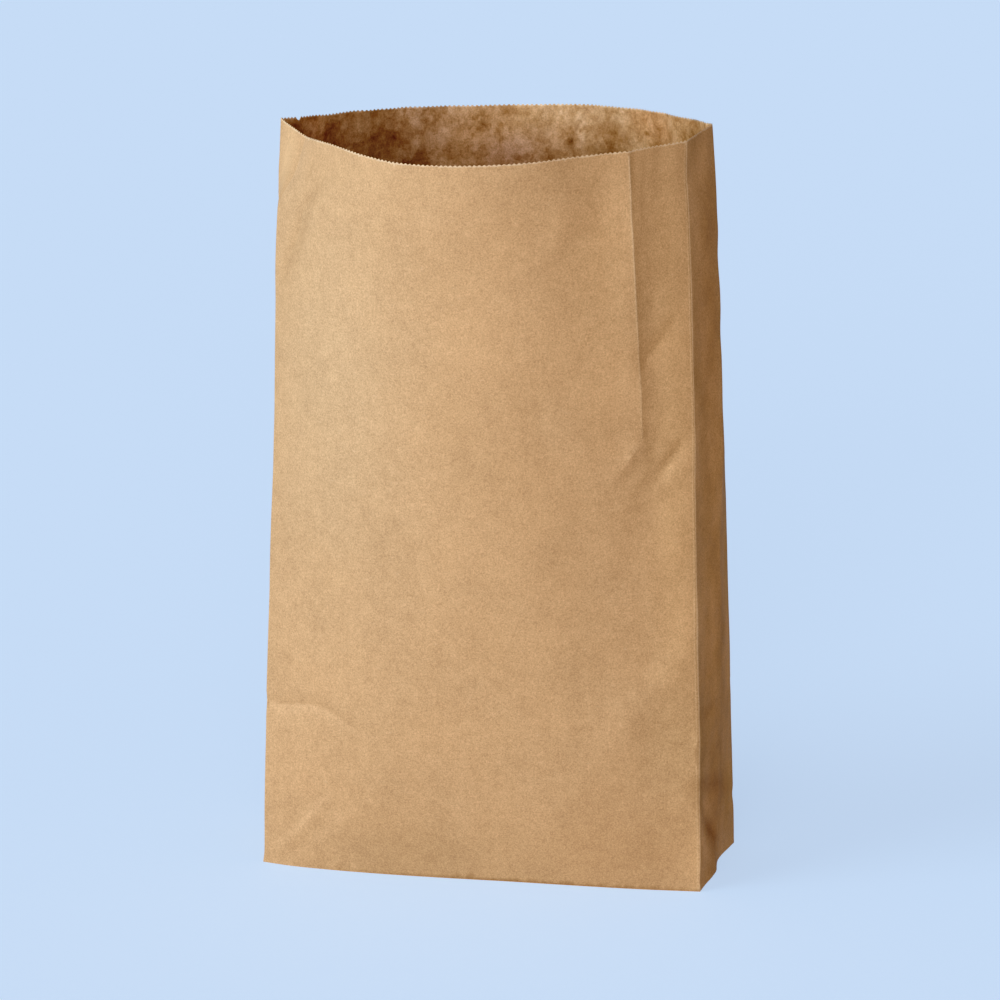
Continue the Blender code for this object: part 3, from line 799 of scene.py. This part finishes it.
    def on_base(along, across):
        u, v = along / PANEL_W, across / GUSSET_W
        ca, cb, cc, cd = corners
        return (1 - v) * ((1 - u) * ca + u * cb) + v * ((1 - u) * cd + u * cc)

    mid = GUSSET_W / 2
    lines = [(on_base(6, 6), on_base(mid, mid)), (on_base(6, GUSSET_W - 6), on_base(mid, mid)),
             (on_base(PANEL_W - 6, 6), on_base(PANEL_W - mid, mid)),
             (on_base(PANEL_W - 6, GUSSET_W - 6), on_base(PANEL_W - mid, mid)),
             (on_base(mid, mid), on_base(PANEL_W - mid, mid))]
    fv = [tuple(p) for p in ring]
    fe = [(i, (i + 1) % len(fv)) for i in range(len(fv))]
    for a, b in lines:
        k = int(np.hypot(*(b - a)) / 6) + 2
        first = len(fv)
        fv += [tuple(a + (b - a) * q) for q in np.linspace(0, 1, k)]
        fe += [(i, i + 1) for i in range(first, len(fv) - 1)]
    gx, gy = np.meshgrid(np.arange(-252, 262, 9.0), np.arange(-92, 90, 9.0))
    grid = np.stack([gx.ravel(), gy.ravel()], -1)
    grid += np.random.default_rng(8).uniform(-2, 2, grid.shape)
    grid = grid[inside_polygon(grid, ring)]
    ring_gap = np.sqrt(((grid[:, None] - ring[None]) ** 2).sum(-1)).min(1)
    fv += [tuple(p) for p in grid[ring_gap > 4.5]]
    out = delaunay_2d_cdt([Vector(v) for v in fv], fe, [], 0, 1e-4, False)
    fco, ftri = np.array([tuple(v) for v in out[0]]), np.array(out[2])
    ftri = ftri[inside_polygon(fco[ftri].mean(1), ring)]
    area = np.cross(fco[ftri[:, 1]] - fco[ftri[:, 0]], fco[ftri[:, 2]] - fco[ftri[:, 0]])
    ftri[area < 0] = ftri[area < 0][:, ::-1]
    # join the floor's border to the wall's inner foot
    gap = np.sqrt(((fco[:, None] - ring[None]) ** 2).sum(-1))
    near = gap.argmin(1)
    border = gap.min(1) < 1e-3
    index = np.zeros(len(fco), int)
    index[border] = loop[near[border]] + n
    free = np.where(~border)[0]
    index[free] = 2 * n + np.arange(len(free))
    z = np.full(len(free), Z_FLOOR)
    p = fco[free]
    for a, b in lines:
        ab = b - a
        q = np.clip(((p - a) @ ab) / (ab @ ab), 0, 1)
        dist = np.hypot(*(p - a - q[:, None] * ab).T)
        z += 1.1 * np.clip(1 - dist / 11, 0, 1) ** 1.5
    edge = np.sqrt(((p[:, None] - ring[None]) ** 2).sum(-1)).min(1)
    z += smooth(0, 22, edge) * (.35 + .35 * lattice(p[:, 0] + 300, p[:, 1] + 300, 34, 34, 31))
    z = np.maximum(z, Z_FLOOR)
    co.append(np.c_[p, z])
    tris.append(index[ftri])
    extra = len(free)
    is_in = np.r_[is_in, np.ones(extra)]
    wear_and_highlight_faces = np.r_[wear_and_highlight_faces, np.zeros(extra)]
    cut2 = np.r_[cut2, np.zeros(extra)]
    colour = np.r_[colour, np.ones((extra, 3))]

    co = np.concatenate(co)
    tris = np.concatenate(tris)

    # underside: folded-in ends under two long glued flaps
    bm = bmesh.new()
    foot_verts = [bm.verts.new(co[i] * MM) for i in loop]

    def add(points):
        return [bm.verts.new((q[0] * MM, q[1] * MM, Z_UNDER * MM)) for q in points]

    at = [int(round(f / TOOTH_PITCH)) for f in (0, 500, 656, 1156, GIRTH)]
    ringv = foot_verts + [foot_verts[0]]
    front_line = ringv[at[0]:at[1] + 1]
    right_line = ringv[at[1]:at[2] + 1]
    back_line = ringv[at[2]:at[3] + 1]
    left_line = ringv[at[3]:at[4] + 1]
    right_apex = add([on_base(PANEL_W - mid, mid)])[0]
    left_apex = add([on_base(mid, mid)])[0]
    start, end = PANEL_W - FLAP_REACH, FLAP_REACH
    teeth = int(round((start - end) / TOOTH_PITCH))
    saw = []
    for k in range(teeth):
        for ph in TOP_PHASES:
            along = start + (end - start) * (k + ph) / teeth
            saw.append(on_base(along, FLAP_REACH + 1.35 - tooth(ph)))
    saw.append(on_base(end, FLAP_REACH))
    saw = add(saw)
    outer_flap = bm.faces.new((front_line + [right_apex] + saw + [left_apex])[::-1])
    inner_flap = bm.faces.new((back_line + [left_apex] + saw[::-1] + [right_apex])[::-1])
    bm.faces.new((right_line + [right_apex])[::-1])
    bm.faces.new((left_line + [left_apex])[::-1])
    bm.normal_update()

    def lower(faces):
        made = bmesh.ops.extrude_face_region(bm, geom=faces)["geom"]
        moved = [g for g in made if isinstance(g, bmesh.types.BMVert)]
        bmesh.ops.translate(bm, verts=moved, vec=(0, 0, -PAPER * MM))
        bmesh.ops.delete(bm, geom=faces, context="FACES")
        return [g for g in made if isinstance(g, bmesh.types.BMFace)]

    flaps = lower([outer_flap, inner_flap])
    outer_flap = min(flaps, key=lambda f: f.calc_center_median().y)
    lower([outer_flap])
    bmesh.ops.triangulate(bm, faces=[f for f in bm.faces if len(f.verts) > 3])
    bm.verts.ensure_lookup_table()
    bm.verts.index_update()
    known = {v.index: int(i) for v, i in zip(foot_verts, loop)}
    under_co, under_index = [], {}
    for v in bm.verts:
        if v.index in known:
            under_index[v.index] = known[v.index]
        else:
            under_index[v.index] = len(co) + len(under_co)
            under_co.append([c / MM for c in v.co])
    under_tri = np.array([[under_index[v.index] for v in f.verts] for f in bm.faces])
    bm.free()
    co = np.concatenate([co, np.array(under_co)])
    first_under = len(tris)
    tris = np.concatenate([tris, under_tri])
    extra = len(under_co)
    is_in = np.r_[is_in, np.zeros(extra)]
    wear_and_highlight_faces = np.r_[wear_and_highlight_faces, np.zeros(extra)]
    cut2 = np.r_[cut2, np.zeros(extra)]
    colour = np.r_[colour, np.ones((extra, 3))]

    mesh = bpy.data.meshes.new("sack_paper")
    mesh.vertices.add(len(co))
    mesh.vertices.foreach_set("co", (co * MM).astype(np.float32).ravel())
    mesh.loops.add(len(tris) * 3)
    mesh.loops.foreach_set("vertex_index", tris.astype(np.int32).ravel())
    mesh.polygons.add(len(tris))
    mesh.polygons.foreach_set("loop_start", np.arange(0, len(tris) * 3, 3, dtype=np.int32))
    mesh.polygons.foreach_set("use_smooth", np.ones(len(tris), bool))
    mesh.update(calc_edges=True)
    mesh.validate()

    # sharp round the cut edge, the foot of the wall and the flaps underneath
    ev = np.zeros(len(mesh.edges) * 2, np.int32)
    mesh.edges.foreach_get("vertices", ev)
    ev = ev.reshape(-1, 2)
    kind = np.zeros(len(co), int)
    kind[rim] = 1
    kind[rim + n] = 2
    kind[loop] = 3
    kind[loop + n] = 4
    kind[len(co) - extra:] = 5
    kind[np.where(on_ridge)[0]] = 6
    kind[np.where(on_ridge)[0] + n] = 7
    a, b = kind[ev[:, 0]], kind[ev[:, 1]]
    sharp = ((a == b) & (a > 0)) | ((a == 3) & (b == 5)) | ((a == 5) & (b == 3))
    mesh.edges.foreach_set("use_edge_sharp", sharp)

    for name, values in (("wear_and_highlight", wear_and_highlight_faces), ("cut_edge", cut2), ("inside", is_in)):
        attr = mesh.attributes.new(name, "FLOAT", "POINT")
        attr.data.foreach_set("value", values.astype(np.float32))
    attr = mesh.attributes.new("paper_tint_and_painted_light", "FLOAT_COLOR", "POINT")
    attr.data.foreach_set("color", np.c_[colour * .5, np.ones(len(co))].astype(np.float32).ravel())
    return mesh


# ---- material --------------------------------------------------------------
def kraft_material():
    mat = bpy.data.materials.new("kraft_paper")
    mat.use_nodes = True
    nt = mat.node_tree
    nt.nodes.clear()
    N, L = nt.nodes, nt.links

    def node(kind, **values):
        made = N.new(kind)
        for key, value in values.items():
            setattr(made, key, value)
        return made

    def noise(vector, scale, detail=4.0, rough=0.55, distortion=0.0):
        made = node("ShaderNodeTexNoise")
        made.inputs["Scale"].default_value = scale
        made.inputs["Detail"].default_value = detail
        made.inputs["Roughness"].default_value = rough
        made.inputs["Distortion"].default_value = distortion
        L.new(vector, made.inputs["Vector"])
        return made.outputs["Fac"]

    def stretch(vector, scale, turn=(0, 0, 0)):
        made = node("ShaderNodeMapping")
        made.inputs["Scale"].default_value = scale
        made.inputs["Rotation"].default_value = turn
        L.new(vector, made.inputs["Vector"])
        return made.outputs["Vector"]

    def to_range(value, lo, hi, out_lo, out_hi):
        made = node("ShaderNodeMapRange", clamp=True)
        for key, v in zip(("From Min", "From Max", "To Min", "To Max"), (lo, hi, out_lo, out_hi)):
            made.inputs[key].default_value = v
        L.new(value, made.inputs["Value"])
        return made.outputs["Result"]

    def maths(op, a, b=None):
        made = node("ShaderNodeMath", operation=op)
        for slot, v in zip(made.inputs, (a, b)):
            if v is None:
                continue
            if isinstance(v, (int, float)):
                slot.default_value = v
            else:
                L.new(v, slot)
        return made.outputs[0]

    def mix(factor, a, b, blend="MIX"):
        made = node("ShaderNodeMix", data_type="RGBA", blend_type=blend, clamp_factor=True)
        for slot, v in ((made.inputs[0], factor), (made.inputs[6], a), (made.inputs[7], b)):
            if isinstance(v, (int, float)):
                slot.default_value = v
            elif isinstance(v, tuple):
                slot.default_value = v
            else:
                L.new(v, slot)
        return made.outputs[2]

    def attribute(name):
        return node("ShaderNodeAttribute", attribute_name=name).outputs["Fac"]

    coord = node("ShaderNodeTexCoord").outputs["Object"]
    streak = stretch(coord, (1.0, 1.0, 0.06))
    strand_up = stretch(coord, (1.0, 1.0, 0.16), (0.5, 0.25, 0.2))
    strand_across = stretch(coord, (0.16, 0.3, 1.0), (0.1, 0.45, 0.0))

    clouds = noise(coord, 11.0, 4.0, .6)
    mottle = noise(coord, 62.0, 4.0, .62, .3)
    flock = noise(coord, 190.0, 3.0, .6, .3)
    fibre = noise(coord, 600.0, 3.0, .72)
    fleck = noise(coord, 420.0, 2.0, .5, .6)
    lines = noise(streak, 170.0, 3.0, .6)
    strand_a = noise(strand_up, 900.0, 2.0, .55, .5)
    strand_b = noise(strand_across, 900.0, 2.0, .55, .5)

    base = mix(to_range(mottle, .30, .70, 0, 1), KRAFT_DARK, KRAFT_LIGHT)
    base = mix(to_range(clouds, .36, .64, 0, .4), base, KRAFT_WARM)
    # value changes at the size of fibres, flocks and the streaks of the machine
    value = maths("ADD", to_range(fibre, .25, .75, -FIBRE, FIBRE), to_range(lines, .3, .7, -.012, .012))
    value = maths("ADD", value, to_range(flock, .3, .7, -.034, .034))
    value = maths("ADD", value, to_range(mottle, .3, .7, -.044, .044))
    value = maths("ADD", value, to_range(clouds, .3, .7, -.038, .038))
    value = maths("ADD", value, 1.0)
    tint = node("ShaderNodeCombineColor")
    for slot, power in zip(tint.inputs, (.86, 1.0, 1.06)):
        L.new(maths("POWER", value, power), slot)
    base = mix(1.0, base, tint.outputs[0], "MULTIPLY")
    # dark and pale specks and short strands of unbleached fibre
    base = mix(to_range(fleck, .70, .78, 0, .34), base, (0.25, 0.13, 0.055, 1))
    base = mix(to_range(fleck, .30, .23, 0, .30), base, (0.80, 0.63, 0.43, 1))
    base = mix(to_range(strand_a, .66, .74, 0, .26), base, (0.33, 0.19, 0.09, 1))
    base = mix(to_range(strand_b, .66, .74, 0, .26), base, (0.78, 0.60, 0.40, 1))
    # folds rubbed pale, with painted highlights along them and along the upright crease, and the cut edge pale
    rub_and_highlight = maths("MULTIPLY", attribute("wear_and_highlight"), to_range(fibre, .3, .62, .35, 1.0))
    base = mix(maths("MULTIPLY", rub_and_highlight, .95), base, (0.87, 0.68, 0.46, 1))
    base = mix(maths("MULTIPLY", to_range(attribute("cut_edge"), .5, .9, 0, 1), .75), base, (0.80, 0.63, 0.44, 1))
    # painted light and shade from the vertex colour, and the crumpled inside darkened with painted shade
    tint_and_painted_light = node("ShaderNodeAttribute", attribute_name="paper_tint_and_painted_light").outputs["Color"]
    tint_and_painted_light_doubled = node("ShaderNodeVectorMath", operation="SCALE")
    L.new(tint_and_painted_light, tint_and_painted_light_doubled.inputs[0])
    tint_and_painted_light_doubled.inputs["Scale"].default_value = 2.0
    base = mix(1.0, base, tint_and_painted_light_doubled.outputs[0], "MULTIPLY")
    up = node("ShaderNodeSeparateXYZ")
    L.new(coord, up.inputs[0])
    within = maths("MULTIPLY", attribute("inside"), to_range(up.outputs[2], .60, .76, 0, 1))
    hang = stretch(coord, (1.0, 1.0, 1.05), (0, .35, 0))
    # painted shade along crease lines inside; the same lines go into the bump
    crease_line_and_shade_a = to_range(maths("ABSOLUTE", maths("SUBTRACT", noise(hang, 26.0, 3.0, .55, .25), .5)), 0, .050, 1, 0)
    crease_line_and_shade_b = to_range(maths("ABSOLUTE", maths("SUBTRACT", noise(hang, 58.0, 3.0, .55, .3), .5)), 0, .075, 1, 0)
    blotch = noise(hang, 92.0, 5.0, .66, .2)
    broad = noise(hang, 36.0, 3.0, .6, .3)
    tone = maths("ADD", to_range(blotch, .3, .7, .85, 1.15), to_range(broad, .3, .7, -.15, .15))
    # small flat facets with sharp edges between them, each painted a little lighter or darker as if lit differently
    wander = node("ShaderNodeTexNoise")
    wander.inputs["Scale"].default_value = 55.0
    wander.inputs["Detail"].default_value = 2.0
    L.new(hang, wander.inputs["Vector"])
    wandered = node("ShaderNodeVectorMath", operation="MULTIPLY_ADD")
    L.new(wander.outputs["Color"], wandered.inputs[0])
    wandered.inputs[1].default_value = (.022, .022, .022)
    L.new(hang, wandered.inputs[2])
    for size, amount in ((62.0, .075), (130.0, .085)):
        facet = node("ShaderNodeTexVoronoi")
        facet.inputs["Scale"].default_value = size
        L.new(wandered.outputs[0], facet.inputs["Vector"])
        one = node("ShaderNodeSeparateColor")
        L.new(facet.outputs["Color"], one.inputs[0])
        tone = maths("ADD", tone, to_range(one.outputs[0], 0, 1, -amount, amount))
    tone = maths("SUBTRACT", tone, maths("MULTIPLY", crease_line_and_shade_a, .12))
    tone = maths("SUBTRACT", tone, maths("MULTIPLY", crease_line_and_shade_b, .09))
    tone = maths("ADD", tone, .05)
    # painted crumple shade, redder where darker
    painted_crumple_shade = node("ShaderNodeCombineColor")
    L.new(tone, painted_crumple_shade.inputs[0])
    L.new(maths("POWER", tone, 1.3), painted_crumple_shade.inputs[1])
    L.new(maths("POWER", tone, 1.7), painted_crumple_shade.inputs[2])
    base = mix(within, base, mix(1.0, base, painted_crumple_shade.outputs[0], "MULTIPLY"))

    bsdf = node("ShaderNodeBsdfPrincipled")
    L.new(base, bsdf.inputs["Base Color"])
    L.new(to_range(mottle, .3, .7, .70, .90), bsdf.inputs["Roughness"])
    bsdf.inputs["Metallic"].default_value = 0.0
    bsdf.inputs["Specular IOR Level"].default_value = 0.35

    grain = maths("ADD", maths("MULTIPLY", fibre, .34), maths("MULTIPLY", flock, .40))
    grain = maths("ADD", grain, maths("MULTIPLY", mottle, .7))
    crumpled = maths("SUBTRACT", maths("MULTIPLY", blotch, 1.6), maths("MULTIPLY", crease_line_and_shade_a, .8))
    crumpled = maths("ADD", crumpled, maths("MULTIPLY", broad, 3.0))
    grain = maths("ADD", grain, maths("MULTIPLY", crumpled, within))
    bump = node("ShaderNodeBump")
    bump.inputs["Strength"].default_value = 0.4
    bump.inputs["Distance"].default_value = 0.0009
    L.new(grain, bump.inputs["Height"])
    L.new(bump.outputs["Normal"], bsdf.inputs["Normal"])
    out = node("ShaderNodeOutputMaterial")
    L.new(bsdf.outputs[0], out.inputs["Surface"])
    return mat


FIBRE = 0.31
KRAFT_DARK = (0.572, 0.374, 0.214, 1)
KRAFT_LIGHT = (0.608, 0.404, 0.236, 1)
KRAFT_WARM = (0.602, 0.386, 0.218, 1)


# ---- stage, light, camera --------------------------------------------------
def make_stage():
    bm = bmesh.new()
    bmesh.ops.create_circle(bm, cap_ends=True, radius=16.0, segments=96)
    mesh = bpy.data.meshes.new("floor")
    bm.to_mesh(mesh)
    bm.free()
    floor = bpy.data.objects.new("floor", mesh)
    bpy.context.scene.collection.objects.link(floor)
    mat = bpy.data.materials.new("floor_pale")
    mat.use_nodes = True
    bsdf = mat.node_tree.nodes["Principled BSDF"]
    bsdf.inputs["Base Color"].default_value = FLOOR_COLOUR
    bsdf.inputs["Roughness"].default_value = 1.0
    bsdf.inputs["Specular IOR Level"].default_value = 0.0
    # lit from within like a light table, so that the sack's shadow stays faint
    bsdf.inputs["Emission Color"].default_value = FLOOR_GLOW
    bsdf.inputs["Emission Strength"].default_value = 1.0
    mesh.materials.append(mat)
    # the pale blue doesn't spill onto the paper
    floor.visible_diffuse = False
    mat.cycles.emission_sampling = "NONE"
    return floor


FLOOR_COLOUR = (0.36, 0.42, 0.50, 1)
FLOOR_GLOW = (0.402, 0.526, 0.692, 1)
BACKDROP = (0.589, 0.724, 0.926, 1)
AIR = (0.336, 0.290, 0.275, 1)
BLACK = 0.055
# broad soft lights: name, azimuth, elevation, angle, strength per channel
LIGHTS = (
    ("wide_left", -55.0, 5.0, 45.0, (0.750, 0.855, 0.880)),
    ("wide_front", 5.0, 5.0, 45.0, (0.631, 0.606, 0.583)),
)


def make_light():
    world = bpy.data.worlds.new("studio")
    bpy.context.scene.world = world
    world.use_nodes = True
    nt = world.node_tree
    bg = nt.nodes["Background"]
    bg.inputs["Strength"].default_value = 1.0
    # the backdrop above the far edge of the floor is as pale as the floor
    path = nt.nodes.new("ShaderNodeLightPath")
    pick = nt.nodes.new("ShaderNodeMix")
    pick.data_type = "RGBA"
    pick.inputs[6].default_value = AIR
    pick.inputs[7].default_value = BACKDROP
    nt.links.new(path.outputs["Is Camera Ray"], pick.inputs[0])
    nt.links.new(pick.outputs[2], bg.inputs["Color"])
    for name, azimuth, elevation, angle, strength in LIGHTS:
        sun = bpy.data.lights.new(name, "SUN")
        peak = max(strength)
        sun.energy = math.pi * peak
        sun.color = [c / peak for c in strength]
        sun.angle = math.radians(angle)
        lamp = bpy.data.objects.new(name, sun)
        bpy.context.scene.collection.objects.link(lamp)
        a, e = math.radians(azimuth), math.radians(elevation)
        towards = Vector((math.sin(a) * math.cos(e), -math.cos(a) * math.cos(e), math.sin(e)))
        lamp.rotation_mode = "QUATERNION"
        lamp.rotation_quaternion = towards.to_track_quat("Z", "Y")
        lamp.location = towards * 3


def make_camera():
    az, el, roll = (math.radians(v) for v in (13.9, 15.8, -1.2))
    back = Vector((math.sin(az) * math.cos(el), -math.cos(az) * math.cos(el), math.sin(el)))
    right = (-back).cross(Vector((0, 0, 1))).normalized()
    up = right.cross(-back)
    x = math.cos(roll) * right + math.sin(roll) * up
    y = -math.sin(roll) * right + math.cos(roll) * up
    where = Vector((0.0138, 0.0, 0.4134)) + back * 4.3988
    cam = bpy.data.cameras.new("camera")
    cam.sensor_width = 36.0
    cam.lens = 144.0
    cam.clip_start, cam.clip_end = 0.1, 60.0
    obj = bpy.data.objects.new("camera", cam)
    bpy.context.scene.collection.objects.link(obj)
    m = Matrix.Identity(4)
    for i in range(3):
        m[i][0], m[i][1], m[i][2], m[i][3] = x[i], y[i], back[i], where[i]
    obj.matrix_world = m
    bpy.context.scene.camera = obj


make_camera()
mesh = build_sack()
mesh.materials.append(kraft_material())
sack = bpy.data.objects.new("sack_paper", mesh)
bpy.context.scene.collection.objects.link(sack)
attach(sack, "root")
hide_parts("paper_sack")
make_stage()
make_light()
bpy.context.scene.view_settings.view_transform = "Standard"
bpy.context.scene.view_settings.look = "None"
bpy.context.scene.view_settings.use_curve_mapping = True
# a straight line from the black level up, with a short soft toe below it
tone_line = bpy.context.scene.view_settings.curve_mapping.curves[3]
tone_line.points[0].location = (0, 0)
tone_line.points[-1].location = (1, 1)
for given in ((BLACK * .5, .0030), (BLACK, .0095), (BLACK + .035, .035 / (1 - BLACK))):
    tone_line.points.new(*given)
for point in tone_line.points:
    point.handle_type = "VECTOR"
bpy.context.scene.view_settings.curve_mapping.update()
